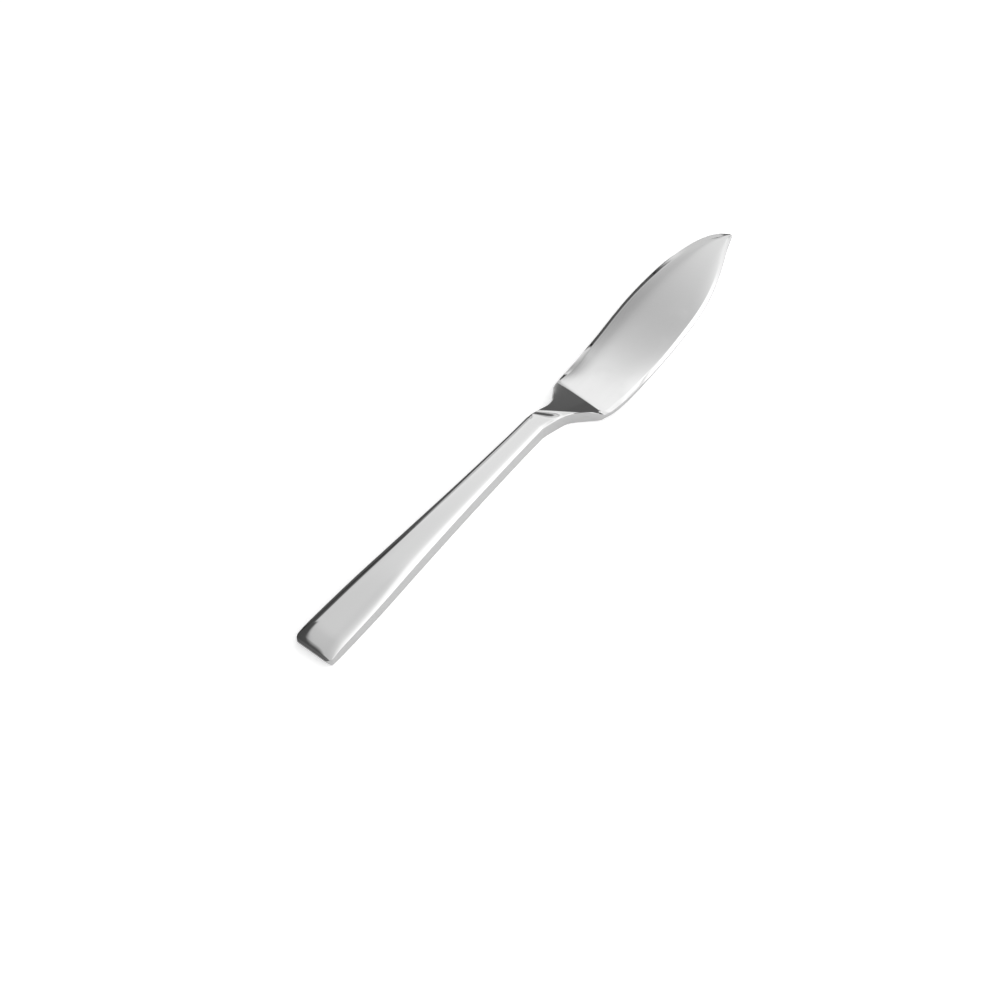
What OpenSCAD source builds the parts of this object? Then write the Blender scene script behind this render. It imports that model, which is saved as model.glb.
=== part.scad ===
// Fish knife with a hollow handle.
// X runs from the square end of the handle to the tip, Y from the cutting side to the back,
// Z is up. The knife lies on the flat land under its handle, and the origin is the land's middle.

/* [Handle] */
// Length of the handle from its square end to its mouth
handle_l = 112.4; // [100:0.1:125]
// Width of the handle at its square end
end_w = 15.2; // [13:0.1:17]
// Width of the handle at its mouth
mouth_w = 6.9; // [6.2:0.1:8.4]
// Height of the upper shell over the seam at the square end
end_rise = 3.3; // [3:0.1:4.5]
// Height of the upper shell over the seam where it swells most
swell_rise = 4; // [3.2:0.1:5]
// Height of the upper shell over the seam at the mouth
mouth_rise = 3.25; // [3.1:0.05:4]
// Depth of the lower shell under the seam
lower_drop = 3.3; // [3.1:0.1:4.5]
// Depth that is ground off the lower shell to make the flat land
land_cut = 0.12; // [0.05:0.01:0.3]
// Radius of the long edges of the handle where it swells most
edge_r = 0.5; // [0.2:0.05:0.8]
// Radius of the two upright corners at the square end
corner_r = 2.2; // [0.8:0.1:3]
// Length of the bevel down the upper half of the square end
nose_l = 0.7; // [0.5:0.05:1]
// Length of the bevel up its lower half
under_nose_l = 1.4; // [0.8:0.05:1.4]
// Height of the upright rim that both bevels leave, on each side of the seam
rim_t = 0.3; // [0.2:0.05:0.5]
// How far the upper face falls towards the square end
end_fall = 2.5; // [1.5:0.05:2.6]
// How far the lower face rises towards the square end
under_fall = 1; // [0.3:0.1:1.5]
// Length over which both faces do so
end_fall_l = 10; // [5:0.5:20]

/* [Shells and filling] */
// Sheet thickness of the two pressed shells
shell_t = 0.8; // [0.5:0.05:1.1]
// Thickness of the closed square end
end_wall_t = 1.4; // [0.8:0.1:2.5]
// Gap left round the filling and the spigot
fit_gap = 0.04; // [0.02:0.01:0.1]

/* [Tang] */
// Length of the spigot that plugs the mouth of the handle
spigot_l = 5; // [3:0.5:9]
// Length of the tang beyond the spigot
tang_l = 42; // [20:1:60]
// Width of the tang
tang_w = 3.2; // [2:0.1:4]
// Thickness of the tang
tang_t = 2.2; // [1.4:0.1:2.8]
// Radius of the tang's edges
tang_r = 0.3; // [0.1:0.05:0.5]

/* [Neck and shoulder] */
// Length of the neck from the mouth to the foot of the shoulder slope
neck_l = 6.1; // [5:0.1:10]
// Half thickness of the neck at the foot of the slope
neck_rise = 3; // [2.4:0.05:3.1]
// Length of the shoulder slope
slope_l = 11.6; // [9:0.1:15]
// Half thickness of the blade at the shoulder line
shoulder_rise = 1.35; // [1:0.05:2]
// Angle of the foot of the slope against a square cut
foot_angle = 36; // [0:1:36]

/* [Blade] */
// Length of the blade from the shoulder line to the tip
blade_l = 80; // [60:0.5:100]
// Reach of the back from the handle's middle line, where it is widest
back_w = 9.1; // [7:0.1:12]
// Reach of the belly from the handle's middle line, where it is widest
belly_w = 16.2; // [12:0.1:20]
// How far the tip lies from the handle's middle line, towards the belly
tip_offset = 1.5; // [0:0.1:3]
// Half thickness of the blade at the tip
tip_rise = 0.6; // [0.5:0.05:0.8]
// Length over which the faces gain their crown past the shoulder line
crown_l = 14; // [6:0.5:30]
// Width of the bevel along the edges of the blade
bevel_w = 1.2; // [0.6:0.1:1.6]
// Depth of the bevel where it is deepest
bevel_t = 0.6; // [0.2:0.05:0.65]
// Crown of the blade's faces
blade_crown = 0.15; // [0.05:0.05:0.3]

/* [Hidden] */
steel = "silver";
cement = "tan";
// Overrun of a cut past the face that it leaves through
overrun = 1;

// The seam between the two shells lies this high over the land.
seam_z = lower_drop - land_cut;
// The land's middle, measured from the square end, is the origin.
land_x = handle_l / 2;

// Crown of the handle's upper face as a share of the half width, crown of its lower face as a
// share of the upper one, and the power that shapes them.
crown_share = 0.14;
under_share = 0.3;
crown_power = 4;
// Where the upper shell swells most, as a share of the handle's length.
swell_share = 0.42;
// Crown of the faces at the shoulder line as a share of the blade's crown.
shoulder_crown_share = 0.3;
// The neck falls to the foot of the slope between these shares of its length.
neck_fall_shares = [0.52, 0.85];
// Half width of the handle: shares of its length, and of the step from mouth to square end.
handle_half_shares = [[0, 1], [0.125, 0.93], [0.25, 0.82], [0.4, 0.6], [0.54, 0.41],
    [0.67, 0.25], [0.8, 0.125], [0.92, 0.03], [1, 0]];

foot_x = handle_l + neck_l;
shoulder_x = foot_x + slope_l;
foot_slant = -tan(foot_angle);
// Outline of the neck between mouth and shoulder line: shares of its length, and shares of
// the step from the width at the mouth to the width at the shoulder line.
neck_back_shares = [[0, 0], [0.14, -0.21], [0.3, -0.58], [0.42, -0.86], [0.5, -0.92],
    [0.6, -0.75], [0.72, -0.05], [0.84, 0.68], [0.93, 0.93], [1, 1]];
neck_belly_shares = [[0, 0], [0.14, 0.05], [0.3, 0.12], [0.42, 0.18], [0.53, 0.26],
    [0.65, 0.42], [0.76, 0.61], [0.87, 0.8], [0.95, 0.93], [1, 1]];
// Outline of the blade from shoulder line to tip: shares of its length and of its widest reach.
blade_back_shares = [[0, 0.6], [0.1, 0.638], [0.2, 0.715], [0.3, 0.81], [0.4, 0.91],
    [0.5, 0.983], [0.6, 1], [0.7, 0.96], [0.78, 0.86], [0.86, 0.7], [0.92, 0.5], [0.965, 0.23]];
blade_belly_shares = [[0, 0.9], [0.03, 0.95], [0.08, 0.985], [0.16, 1], [0.28, 0.985],
    [0.4, 0.95], [0.52, 0.89], [0.62, 0.82], [0.7, 0.725], [0.78, 0.585], [0.86, 0.41],
    [0.93, 0.235]];
// Half the stretch over which the outline's grade is taken, as a share of the blade's length.
probe_share = 0.01;
// Width of the two bevels and their depth along the blade, and the most of the blade's width that
// one bevel takes up.
belly_bevel_shares = [[0, 1.25], [0.1, 1.3], [0.25, 1], [0.6, 1], [0.8, 0.9], [1, 0.8]];
back_bevel_shares = [[0, 0.3], [0.1, 1.4], [0.25, 1], [0.6, 1], [0.7, 1.15], [1, 1.2]];
bevel_depth_shares = [[0, 0.7], [0.05, 0.45], [0.1, 0.3], [0.2, 0.6], [0.3, 1], [0.6, 0.9],
    [0.7, 0.5], [0.78, 0.3], [0.88, 0.15], [1, 0.08]];
bevel_room_share = 0.3;
// Stations of the blade, as shares of its length.
blade_station_shares = [0, 0.015, 0.03, 0.05, 0.075, 0.1, 0.14, 0.2, 0.27, 0.34, 0.41, 0.48,
    0.55, 0.62, 0.68, 0.73, 0.78, 0.82, 0.86, 0.89, 0.92, 0.945, 0.965, 0.98, 0.991];

function sq(v) = v * v;
function clamp(v, low, high) = min(max(v, low), high);
// A smooth step from 0 to 1.
function ease(t) = let (s = clamp(t, 0, 1)) s * s * (3 - 2 * s);
function mix(a, b, t) = a + (b - a) * t;
function half_arc(r, d) = d >= r ? 0 : r - sqrt(max(0, sq(r) - sq(r - d)));

// A smooth curve through a list of [place, value] pairs.
function span(list, x, i = 0) = i >= len(list) - 2 || x < list[i + 1][0] ? i : span(list, x, i + 1);
function grade(list, i) = let (a = max(i - 1, 0), b = min(i + 1, len(list) - 1))
    (list[b][1] - list[a][1]) / (list[b][0] - list[a][0]);
function follow(list, x) =
    let (i = span(list, x), p = list[i], q = list[i + 1], step = q[0] - p[0])
    let (t = clamp((x - p[0]) / step, 0, 1), u = 1 - t)
    p[1] * u * u * (1 + 2 * t) + q[1] * t * t * (1 + 2 * u)
    + grade(list, i) * step * t * u * u - grade(list, i + 1) * step * u * t * t;

// Handle: half width, heights over and under the seam, and crown at a distance x from its end.
function handle_half(x) = mix(mouth_w, end_w, follow(handle_half_shares, x / handle_l)) / 2;
function handle_side(x) = handle_half(x) - half_arc(corner_r, x);
function end_drop(x, full, fall, length) = fall * pow(1 - clamp(x / end_fall_l, 0, 1), 3)
    + (full - fall - rim_t) * (1 - clamp(x / length, 0, 1));
function handle_rise(x) = let (swell_x = swell_share * handle_l)
    (x < swell_x ? mix(end_rise, swell_rise, ease(x / swell_x))
    : mix(swell_rise, mouth_rise, ease((x - swell_x) / (handle_l - swell_x))))
    - end_drop(x, end_rise, end_fall, nose_l);
function handle_depth(x) = lower_drop - end_drop(x, lower_drop, under_fall, under_nose_l);
// Crown and edges shrink with the height of the shell.
function handle_crown(x, rise) = crown_share * handle_half(x) * rise / swell_rise;
function handle_edge(rise) = edge_r * rise / swell_rise;

// Half of a cross-section as [y, z] points from the belly side to the back side. The face has a
// crown, and an edge, et deep and as wide as ws gives for belly and back, runs down to an upright
// side. Its profile is a list of shares of that width and depth.
round_shares = [[0, 0], [0.27, 0.58], [1, 1]];
bevel_shares = [[0, 0], [0.4, 0.42], [1, 1]];
face_shares = [-0.86, -0.7, -0.5, -0.27, 0, 0.27, 0.5, 0.7, 0.86];
// Width and depth of a rounded edge as shares of its radius.
round_w_share = 0.5;
round_t_share = 0.87;
function half_section(back, belly, rise, crown, ws, et, profile) =
    let (side = rise - crown - et, low = ws[0] - belly, high = back - ws[1])
    concat(
        [for (s = profile) [s[0] * ws[0] - belly, side + s[1] * et]],
        [for (s = face_shares)
            [mix(low, high, (1 + s) / 2), rise - crown * pow(abs(s), crown_power)]],
        [for (s = reversed(profile)) [back - s[0] * ws[1], side + s[1] * et]]);
// The same with rounded edges of radius r.
function round_section(side, rise, crown, r) = let (w = round_w_share * r)
    half_section(side, side, rise, crown, [w, w], round_t_share * r, round_shares);

// A ring of points at station x. It leans by slant for each unit of y.
function upper_ring(x, slant, s) = concat(
    [[x + slant * s[0][0], s[0][0], seam_z]],
    [for (p = s) [x + slant * p[0], p[0], seam_z + p[1]]],
    [[x + slant * s[len(s) - 1][0], s[len(s) - 1][0], seam_z]]);
function lower_ring(x, slant, s) = concat(
    [[x + slant * s[0][0], s[0][0], seam_z]],
    [for (p = s) [x + slant * p[0], p[0], seam_z - p[1]]],
    [[x + slant * s[len(s) - 1][0], s[len(s) - 1][0], seam_z]]);
function reversed(list) = [for (i = [len(list) - 1:-1:0]) list[i]];
function full_ring(x, slant, up, down) = concat(
    [for (p = up) [x + slant * p[0], p[0], seam_z + p[1]]],
    [for (p = reversed(down)) [x + slant * p[0], p[0], seam_z - p[1]]]);

// A closed skin over rings that all have the same number of points.
module skin(rings) {
    count = len(rings[0]);
    points = [for (r = rings) each r];
    sides = [for (i = [0:len(rings) - 2], j = [0:count - 1])
        let (a = i * count + j, b = i * count + (j + 1) % count)
        each [[a, b, b + count], [a, b + count, a + count]]];
    first = [for (j = [count - 1:-1:0]) j];
    last = [for (j = [0:count - 1]) (len(rings) - 1) * count + j];
    polyhedron(points, concat([first], sides, [last]), convexity = 8);
}

// Stations along the handle: the ends of the two bevels, close together along the fall of the
// faces, then even.
end_station_shares = [0.28, 0.45, 0.65, 1];
handle_steps = 22;
handle_stations = concat(
    [0, nose_l / 3, nose_l, under_nose_l],
    [for (s = end_station_shares) end_fall_l * s],
    [for (i = [1:handle_steps]) mix(end_fall_l, handle_l, i / handle_steps)]);

// Half sections of the handle, drawn inset from its outside where inset isn't zero.
function inset_section(x, rise, crown, inset) =
    round_section(handle_side(x) - inset, rise - inset, crown,
        inset > 0 ? handle_edge(rise) / 2 : handle_edge(rise));
function upper_section(x, inset = 0) = let (rise = handle_rise(x))
    inset_section(x, rise, handle_crown(x, rise), inset);
function lower_section(x, inset = 0) = let (rise = handle_depth(x))
    inset_section(x, rise, under_share * handle_crown(x, rise), inset);

// The hollow follows the outside at one sheet thickness.
hollow_steps = 16;
hollow_stations = [for (i = [0:hollow_steps]) mix(end_wall_t, handle_l, i / hollow_steps)];

module handle_outside_upper() {
    skin([for (x = handle_stations) upper_ring(x, 0, upper_section(x))]);
}

module handle_outside_lower() {
    skin([for (x = handle_stations) reversed(lower_ring(x, 0, lower_section(x)))]);
}

// The hollow, drawn inset from the outside and lengthened past the mouth for the cut.
module hollow(inset, stations, extra) {
    last = stations[len(stations) - 1];
    skin([for (x = concat(stations, extra > 0 ? [last + extra] : []))
        let (at = min(x, last))
        full_ring(x, 0, upper_section(at, inset), lower_section(at, inset))]);
}

module handle_upper_shell() {
    color(steel)
        translate([-land_x, 0, 0])
            difference() {
                handle_outside_upper();
                hollow(shell_t, hollow_stations, overrun);
            }
}

module handle_lower_shell() {
    color(steel)
        translate([-land_x, 0, 0])
            difference() {
                handle_outside_lower();
                hollow(shell_t, hollow_stations, overrun);
                // The flat land that the knife lies on.
                translate([-overrun, -end_w, -lower_drop])
                    cube([handle_l + 2 * overrun, 2 * end_w, lower_drop]);
            }
}

// The filling stops short of the spigot and leaves room for the tang.
filler_end = handle_l - spigot_l - fit_gap;
filler_stations = concat(
    [end_wall_t + fit_gap],
    [for (x = hollow_stations) if (x > end_wall_t + fit_gap && x < filler_end - fit_gap) x],
    [filler_end]);
tang_start = handle_l - spigot_l - tang_l;

function tang_ring(x, gap) = let (s = round_section(tang_w / 2 + gap, tang_t / 2 + gap, 0, tang_r))
    full_ring(x, 0, s, s);

module handle_filler() {
    color(cement)
        translate([-land_x, 0, 0])
            difference() {
                hollow(shell_t + fit_gap, filler_stations, 0);
                skin([tang_ring(tang_start - fit_gap, fit_gap),
                    tang_ring(handle_l + overrun, fit_gap)]);
            }
}

// Neck and blade: outline, thickness and edge at a distance x from the square end.
back_at_shoulder = blade_back_shares[0][1] * back_w;
belly_at_shoulder = blade_belly_shares[0][1] * belly_w;
function neck_place(x) = (x - handle_l) / (shoulder_x - handle_l);
function blade_place(x) = (x - shoulder_x) / blade_l;
blade_back_outline = concat([for (p = blade_back_shares) [p[0], p[1] * back_w]],
    [[1, -tip_offset]]);
blade_belly_outline = concat([for (p = blade_belly_shares) [p[0], p[1] * belly_w]],
    [[1, tip_offset]]);
function back_reach(x) = x < shoulder_x
    ? mouth_w / 2 + (back_at_shoulder - mouth_w / 2) * follow(neck_back_shares, neck_place(x))
    : follow(blade_back_outline, blade_place(x));
function belly_reach(x) = x < shoulder_x
    ? mix(mouth_w / 2, belly_at_shoulder, follow(neck_belly_shares, neck_place(x)))
    : follow(blade_belly_outline, blade_place(x));

// The stations lean with the foot of the slope, and are square at the mouth and on the blade.
function lean(x) = x < foot_x ? foot_slant * ease((x - handle_l) / neck_l)
    : foot_slant * (1 - clamp((x - foot_x) / slope_l, 0, 1));
// The outline met by a leaning station, found in a few passes.
function met_back(x, k, y, passes = 4) =
    passes == 0 ? y : met_back(x, k, back_reach(x + k * y), passes - 1);
function met_belly(x, k, y, passes = 4) =
    passes == 0 ? y : met_belly(x, k, belly_reach(x - k * y), passes - 1);

function neck_fall(x) = let (from = neck_fall_shares[0], to = neck_fall_shares[1])
    ease(((x - handle_l) / neck_l - from) / (to - from));
function body_rise(x) = x < foot_x ? mix(mouth_rise, neck_rise, neck_fall(x))
    : x < shoulder_x ? mix(neck_rise, shoulder_rise, (x - foot_x) / slope_l)
    : mix(shoulder_rise, tip_rise, blade_place(x));
function under_rise(x) = x < foot_x ? mix(lower_drop, neck_rise, neck_fall(x)) : body_rise(x);
shoulder_crown = blade_crown * shoulder_crown_share;
// The crown of the blade shrinks with its width.
function body_crown(x, start, width) =
    x < shoulder_x ? mix(start, shoulder_crown, ease((x - handle_l) / neck_l))
    : mix(shoulder_crown, blade_crown, ease((x - shoulder_x) / crown_l)) * width
        / (back_w + belly_w);
function bevelled(x) = ease((x - handle_l) / (neck_l + slope_l / 2));
function body_edge_t(x) = mix(round_t_share * handle_edge(mouth_rise),
    bevel_t * follow(bevel_depth_shares, blade_place(x)), bevelled(x));
function body_profile(x) = [for (i = [0:len(round_shares) - 1])
    mix(round_shares[i], bevel_shares[i], bevelled(x))];
// The bevel keeps its width square to the outline, so it is wider across where the outline slants.
probe = blade_l * probe_share;
function across(grade) = sqrt(1 + sq(grade));
function body_edge_w(x, shares, grade) = across(grade) * mix(
    round_w_share * handle_edge(mouth_rise), bevel_w * follow(shares, blade_place(x)), bevelled(x));
function body_edge_ws(x, room) =
    let (belly_grade = (belly_reach(x + probe) - belly_reach(x - probe)) / probe / 2)
    let (back_grade = (back_reach(x + probe) - back_reach(x - probe)) / probe / 2)
    [min(body_edge_w(x, belly_bevel_shares, belly_grade), room),
        min(body_edge_w(x, back_bevel_shares, back_grade), room)];

// The neck's underside carries the flat land on.
function on_land(s) = [for (p = s) [p[0], min(p[1], seam_z)]];
function body_ring(x) =
    let (k = lean(x), back = met_back(x, k, back_reach(x)), belly = met_belly(x, k, belly_reach(x)))
    let (width = back + belly)
    let (ws = body_edge_ws(x, bevel_room_share * width), et = body_edge_t(x))
    let (crown = handle_crown(handle_l, mouth_rise), profile = body_profile(x))
    full_ring(x, k,
        half_section(back, belly, body_rise(x), body_crown(x, crown, width), ws, et, profile),
        on_land(half_section(back, belly, under_rise(x),
            body_crown(x, under_share * crown, width), ws, et, profile)));

// The spigot plugs the hollow, and its step against the shells is the joint.
function spigot_ring(x) = let (inset = shell_t + fit_gap)
    full_ring(x, 0, upper_section(x, inset), lower_section(x, inset));

neck_station_shares = [0, 0.2, 0.4, 0.5, 0.6, 0.7, 0.8, 0.9];
slope_station_shares = [0, 0.1, 0.2, 0.3, 0.42, 0.54, 0.66, 0.78, 0.9];
body_stations = concat(
    [for (s = neck_station_shares) handle_l + s * neck_l],
    [for (s = slope_station_shares) foot_x + s * slope_l],
    [for (s = blade_station_shares) shoulder_x + s * blade_l]);

module blade() {
    spigot_start = handle_l - spigot_l;
    color(steel)
        translate([-land_x, 0, 0])
            skin(concat(
                [tang_ring(tang_start, 0), tang_ring(spigot_start, 0)],
                [spigot_ring(spigot_start), spigot_ring(handle_l)],
                [for (x = body_stations) body_ring(x)]));
}

blade();
handle_upper_shell();
handle_lower_shell();
handle_filler();
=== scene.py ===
# %% [markdown]
# # A table fish knife in polished steel
#
# The knife has a square-ended hollow handle, a thick waisted neck, a stepped shoulder and a broad
# blunt blade. The measured model comes first: it fixes every size, and the pieces below are
# smoother skins over the same solids, with the polish and the small marks of the real thing.

# %% Load the measured model
import bpy
import bmesh
import math
from mathutils import Matrix, Vector


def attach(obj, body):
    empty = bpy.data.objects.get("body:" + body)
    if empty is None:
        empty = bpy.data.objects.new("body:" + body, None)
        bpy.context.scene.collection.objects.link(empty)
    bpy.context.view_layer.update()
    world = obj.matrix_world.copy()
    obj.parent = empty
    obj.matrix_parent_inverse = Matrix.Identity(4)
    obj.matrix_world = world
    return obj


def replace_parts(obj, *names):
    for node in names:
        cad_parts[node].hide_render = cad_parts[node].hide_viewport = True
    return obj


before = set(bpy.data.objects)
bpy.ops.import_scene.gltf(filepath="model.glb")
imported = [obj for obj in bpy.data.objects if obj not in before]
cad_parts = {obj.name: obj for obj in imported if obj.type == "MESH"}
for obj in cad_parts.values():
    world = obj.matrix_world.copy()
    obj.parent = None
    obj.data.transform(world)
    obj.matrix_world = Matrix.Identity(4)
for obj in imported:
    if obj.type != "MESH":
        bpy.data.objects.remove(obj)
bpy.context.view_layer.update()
MM = 0.001


print("nodes:", sorted(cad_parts))

# %% [markdown]
# ## Sizes
#
# The pieces are lofted through cross-sections, so a handful of sizes drives all of them. They are
# written in millimetres, as a maker would, and turned into metres only where a mesh is made.
#
# In the model, X starts at the middle of the handle and runs to the tip, Y runs from the cutting
# side to the back, and Z starts at the table. A maker measures from better places, and so do the
# sizes here: along from the square end, across from the middle line, and up or down from the
# seam, where the two halves of the handle meet.

# %% Sizes of the handle, in millimetres
HANDLE = dict(
    # length, and width at the square end and at the mouth
    length=112.4, end_w=15.2, mouth_w=6.9,
    # height over the seam at the square end, at the swell and at the mouth
    end_rise=3.3, swell_rise=4, mouth_rise=3.25,
    # place of the swell, as a share of the length
    swell_at=0.42,
    # depth under the seam, and what the flat land takes off it
    drop=3.3, land=0.12,
    # radius of the long edges and of the corners of the square end
    edge_r=0.5, corner_r=2.2,
    # length of the bevels over and under the square end, and the height left upright at each
    nose=0.7, under_nose=1.4, rim=0.3,
    # how far the upper and lower face fall towards the square end, and over what length
    end_fall=2.5, under_fall=1, end_fall_l=10,
    # the pressed sheet, the wall at the square end, and the play of what sits inside
    sheet=0.8, end_wall=1.4, gap=0.04,
    # crown of the upper face as a share of half its width, and of the lower one as a share of that
    crown=0.14, under_crown=0.3)

# %% Sizes of the tang, the neck and the blade, in millimetres
TANG = dict(
    # length of the spigot that fills the mouth, and of the tang behind it
    spigot=5, length=42,
    # cross-section of the tang
    width=3.2, thick=2.2, edge_r=0.3)
NECK = dict(
    # from the mouth to the foot of the slope, and from there to the shoulder line
    length=6.1, slope=11.6,
    # height over the seam at the foot and at the shoulder line
    rise=3, shoulder_rise=1.35,
    # angle of the foot to a square cut, in degrees
    foot_angle=36,
    # where the height falls to that of the foot, as shares of the length
    fall_from=0.52, fall_to=0.85)
BLADE = dict(
    # length, and widest reach of the back and of the cutting side
    length=80, back_w=9.1, belly_w=16.2,
    # how far the tip lies towards the cutting side, and its height over the seam
    tip_offset=1.5, tip_rise=0.6,
    # crown at the shoulder line, crown where it is full, and the length it takes to get there
    shoulder_crown=0.045, crown=0.15, crown_l=14,
    # width and depth of the bevels, and the largest share of the blade's width for one of them
    bevel_w=1.2, bevel_t=0.6, bevel_room=0.3)

SEAM_Z = HANDLE["drop"] - HANDLE["land"]
FOOT_X = HANDLE["length"] + NECK["length"]
SHOULDER_X = FOOT_X + NECK["slope"]
TIP_X = SHOULDER_X + BLADE["length"]
print("length over all, mm:", round(TIP_X, 1), "seam height, mm:", round(SEAM_Z, 2))

# %% [markdown]
# ## Smooth lines
#
# The outline of the neck and the blade has no straight stretch. A Bezier curve could carry it, but
# a curve through a short list of places and widths is easier to check against a measured knife,
# so each side is one such list, and a small function draws a smooth line through it.

# %% Smooth steps and lines
def step_up(t):
    """Smooth step from 0 to 1."""
    t = min(max(t, 0.0), 1.0)
    return t * t * (3 - 2 * t)


def between(a, b, t):
    """The value a share t of the way from a to b."""
    return a + (b - a) * t


def arc_fall(radius, d):
    """How far a quarter round of this radius still has to rise at a distance d from its start."""
    return 0.0 if d >= radius else radius - math.sqrt(max(0.0, radius ** 2 - (radius - d) ** 2))


def line_through(places, x):
    """Height at x of a smooth line through [place, value] pairs."""
    i = 0
    while i < len(places) - 2 and x >= places[i + 1][0]:
        i += 1

    def grade(j):
        a, b = max(j - 1, 0), min(j + 1, len(places) - 1)
        return (places[b][1] - places[a][1]) / (places[b][0] - places[a][0])

    (x0, y0), (x1, y1) = places[i], places[i + 1]
    t = min(max((x - x0) / (x1 - x0), 0.0), 1.0)
    u = 1 - t
    return (y0 * u * u * (1 + 2 * t) + y1 * t * t * (1 + 2 * u)
            + grade(i) * (x1 - x0) * t * u * u - grade(i + 1) * (x1 - x0) * u * t * t)


print("a line from 0 to 1, halfway:", line_through([[0, 0], [1, 1]], 0.5))

# %% [markdown]
# ## Outlines
#
# The lists give shares of a length and of a width, so they still hold when a size changes. The
# handle's says how much of its taper is left. The neck's two say how much of the way from the
# handle's width to the blade's is done. The blade's two say how much of its widest reach is there,
# and the lines made from them end at the tip, where the back and the cutting side meet.

# %% Outlines of the handle and the neck
HANDLE_HALF = [[0, 1], [0.125, 0.93], [0.25, 0.82], [0.4, 0.6], [0.54, 0.41],
               [0.67, 0.25], [0.8, 0.125], [0.92, 0.03], [1, 0]]
NECK_BACK = [[0, 0], [0.14, -0.21], [0.3, -0.58], [0.42, -0.86], [0.5, -0.92],
             [0.6, -0.75], [0.72, -0.05], [0.84, 0.68], [0.93, 0.93], [1, 1]]
NECK_BELLY = [[0, 0], [0.14, 0.05], [0.3, 0.12], [0.42, 0.18], [0.53, 0.26], [0.65, 0.42],
              [0.76, 0.61], [0.87, 0.8], [0.95, 0.93], [1, 1]]
print("places along the handle:", len(HANDLE_HALF), "along the neck's back:", len(NECK_BACK))

# %% Outline of the blade
BLADE_BACK = [[0, 0.6], [0.1, 0.638], [0.2, 0.715], [0.3, 0.81], [0.4, 0.91],
              [0.5, 0.983], [0.6, 1], [0.7, 0.96], [0.78, 0.86], [0.86, 0.7], [0.92, 0.5],
              [0.965, 0.23]]
BLADE_BELLY = [[0, 0.9], [0.03, 0.95], [0.08, 0.985], [0.16, 1], [0.28, 0.985],
               [0.4, 0.95], [0.52, 0.89], [0.62, 0.82], [0.7, 0.725], [0.78, 0.585], [0.86, 0.41],
               [0.93, 0.235]]
BACK_LINE = [[p, v * BLADE["back_w"]] for p, v in BLADE_BACK] + [[1, -BLADE["tip_offset"]]]
BELLY_LINE = [[p, v * BLADE["belly_w"]] for p, v in BLADE_BELLY] + [[1, BLADE["tip_offset"]]]


def neck_place(x):
    """Where x lies between the mouth and the shoulder line, as a share."""
    return (x - HANDLE["length"]) / (SHOULDER_X - HANDLE["length"])


def blade_place(x):
    """Where x lies between the shoulder line and the tip, as a share."""
    return (x - SHOULDER_X) / BLADE["length"]


def back_reach(x):
    """From the middle line to the back, at x from the square end."""
    if x < SHOULDER_X:
        return between(HANDLE["mouth_w"] / 2, BACK_LINE[0][1],
                       line_through(NECK_BACK, neck_place(x)))
    return line_through(BACK_LINE, blade_place(x))


def belly_reach(x):
    """From the middle line to the cutting side, at x from the square end."""
    if x < SHOULDER_X:
        return between(HANDLE["mouth_w"] / 2, BELLY_LINE[0][1],
                       line_through(NECK_BELLY, neck_place(x)))
    return line_through(BELLY_LINE, blade_place(x))


SPOTS = {"mouth": HANDLE["length"], "foot": FOOT_X, "shoulder line": SHOULDER_X,
         "middle of the blade": (SHOULDER_X + TIP_X) / 2}
for name, x in SPOTS.items():
    print(name, "mm: back", round(back_reach(x), 2), "cutting side", round(belly_reach(x), 2))

# %% [markdown]
# ## One cross-section for everything
#
# A steel handle that looks flat is never flat: it has a slight crown, and that crown is what
# draws the long bright and dark lines along it. So every section has a crowned face, a rounded
# or bevelled edge and an upright side. The solids use a few points for it; here there are many,
# because a mirror shows every flat.

# %% Edges, as shares of their width and their depth
ROUND_TURN, ROUND_STEP = 60, 10
# Width and depth of such a round where its radius is 1
ROUND_W, ROUND_T = 0.5, 0.87


def turned(degrees):
    """Width and depth of a round of radius 1 after it has turned this far."""
    angle = math.radians(degrees)
    return 1 - math.cos(angle), math.sin(angle)


full_w, full_t = turned(ROUND_TURN)
ROUND = [(w / full_w, t / full_t) for w, t in map(turned, range(0, ROUND_TURN + 1, ROUND_STEP))]
BEVEL = [(0, 0), (0.1, 0.12), (0.22, 0.25), (0.4, 0.42), (0.6, 0.61), (0.8, 0.81), (1, 1)]
print("points in a round edge:", len(ROUND), "in a bevelled one:", len(BEVEL))

# %% Half a cross-section
# A crown with power 2 is close to an arc, and a higher power keeps the middle flatter
CROWN_POWER = 4
# Places across the face from -1 to 1, closest together where it meets the edges
NEAR_EDGE = [0.92, 0.96, 0.985]
FACE_PLACES = ([-s for s in reversed(NEAR_EDGE)] + [-0.88 + 0.08 * i for i in range(23)]
               + NEAR_EDGE)


def half_section(back, belly, rise, crown, widths, depth, profile):
    """Points (y, z) from the cutting side over the face to the back; z is over the seam."""
    side, low, high = rise - crown - depth, widths[0] - belly, back - widths[1]
    near = [(w * widths[0] - belly, side + t * depth) for w, t in profile]
    top = [(between(low, high, (1 + s) / 2), rise - crown * abs(s) ** CROWN_POWER)
           for s in FACE_PLACES]
    far = [(back - w * widths[1], side + t * depth) for w, t in reversed(profile)]
    return near + top + far


def round_section(side, rise, crown, r):
    """Half a section with equal sides and round edges of radius r."""
    width = ROUND_W * r
    return half_section(side, side, rise, crown, (width, width), ROUND_T * r, ROUND)


print("points in half a section:", len(ROUND) + len(FACE_PLACES) + len(ROUND))

# %% [markdown]
# ## Lofting
#
# Each piece is a skin over a row of such sections. Blender could loft along a curve, but then the
# sections would have to stay square to it, and the foot of this knife's shoulder is slanted. Rings
# of points joined by quads do exactly what is wanted. Weighted normals keep the flat ends flat.

# %% From measured places to meshes
# Points closer than this are one point, in metres, and edges that turn more than this are sharp
WELD = 1e-7
SHARP = math.radians(35)


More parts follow.
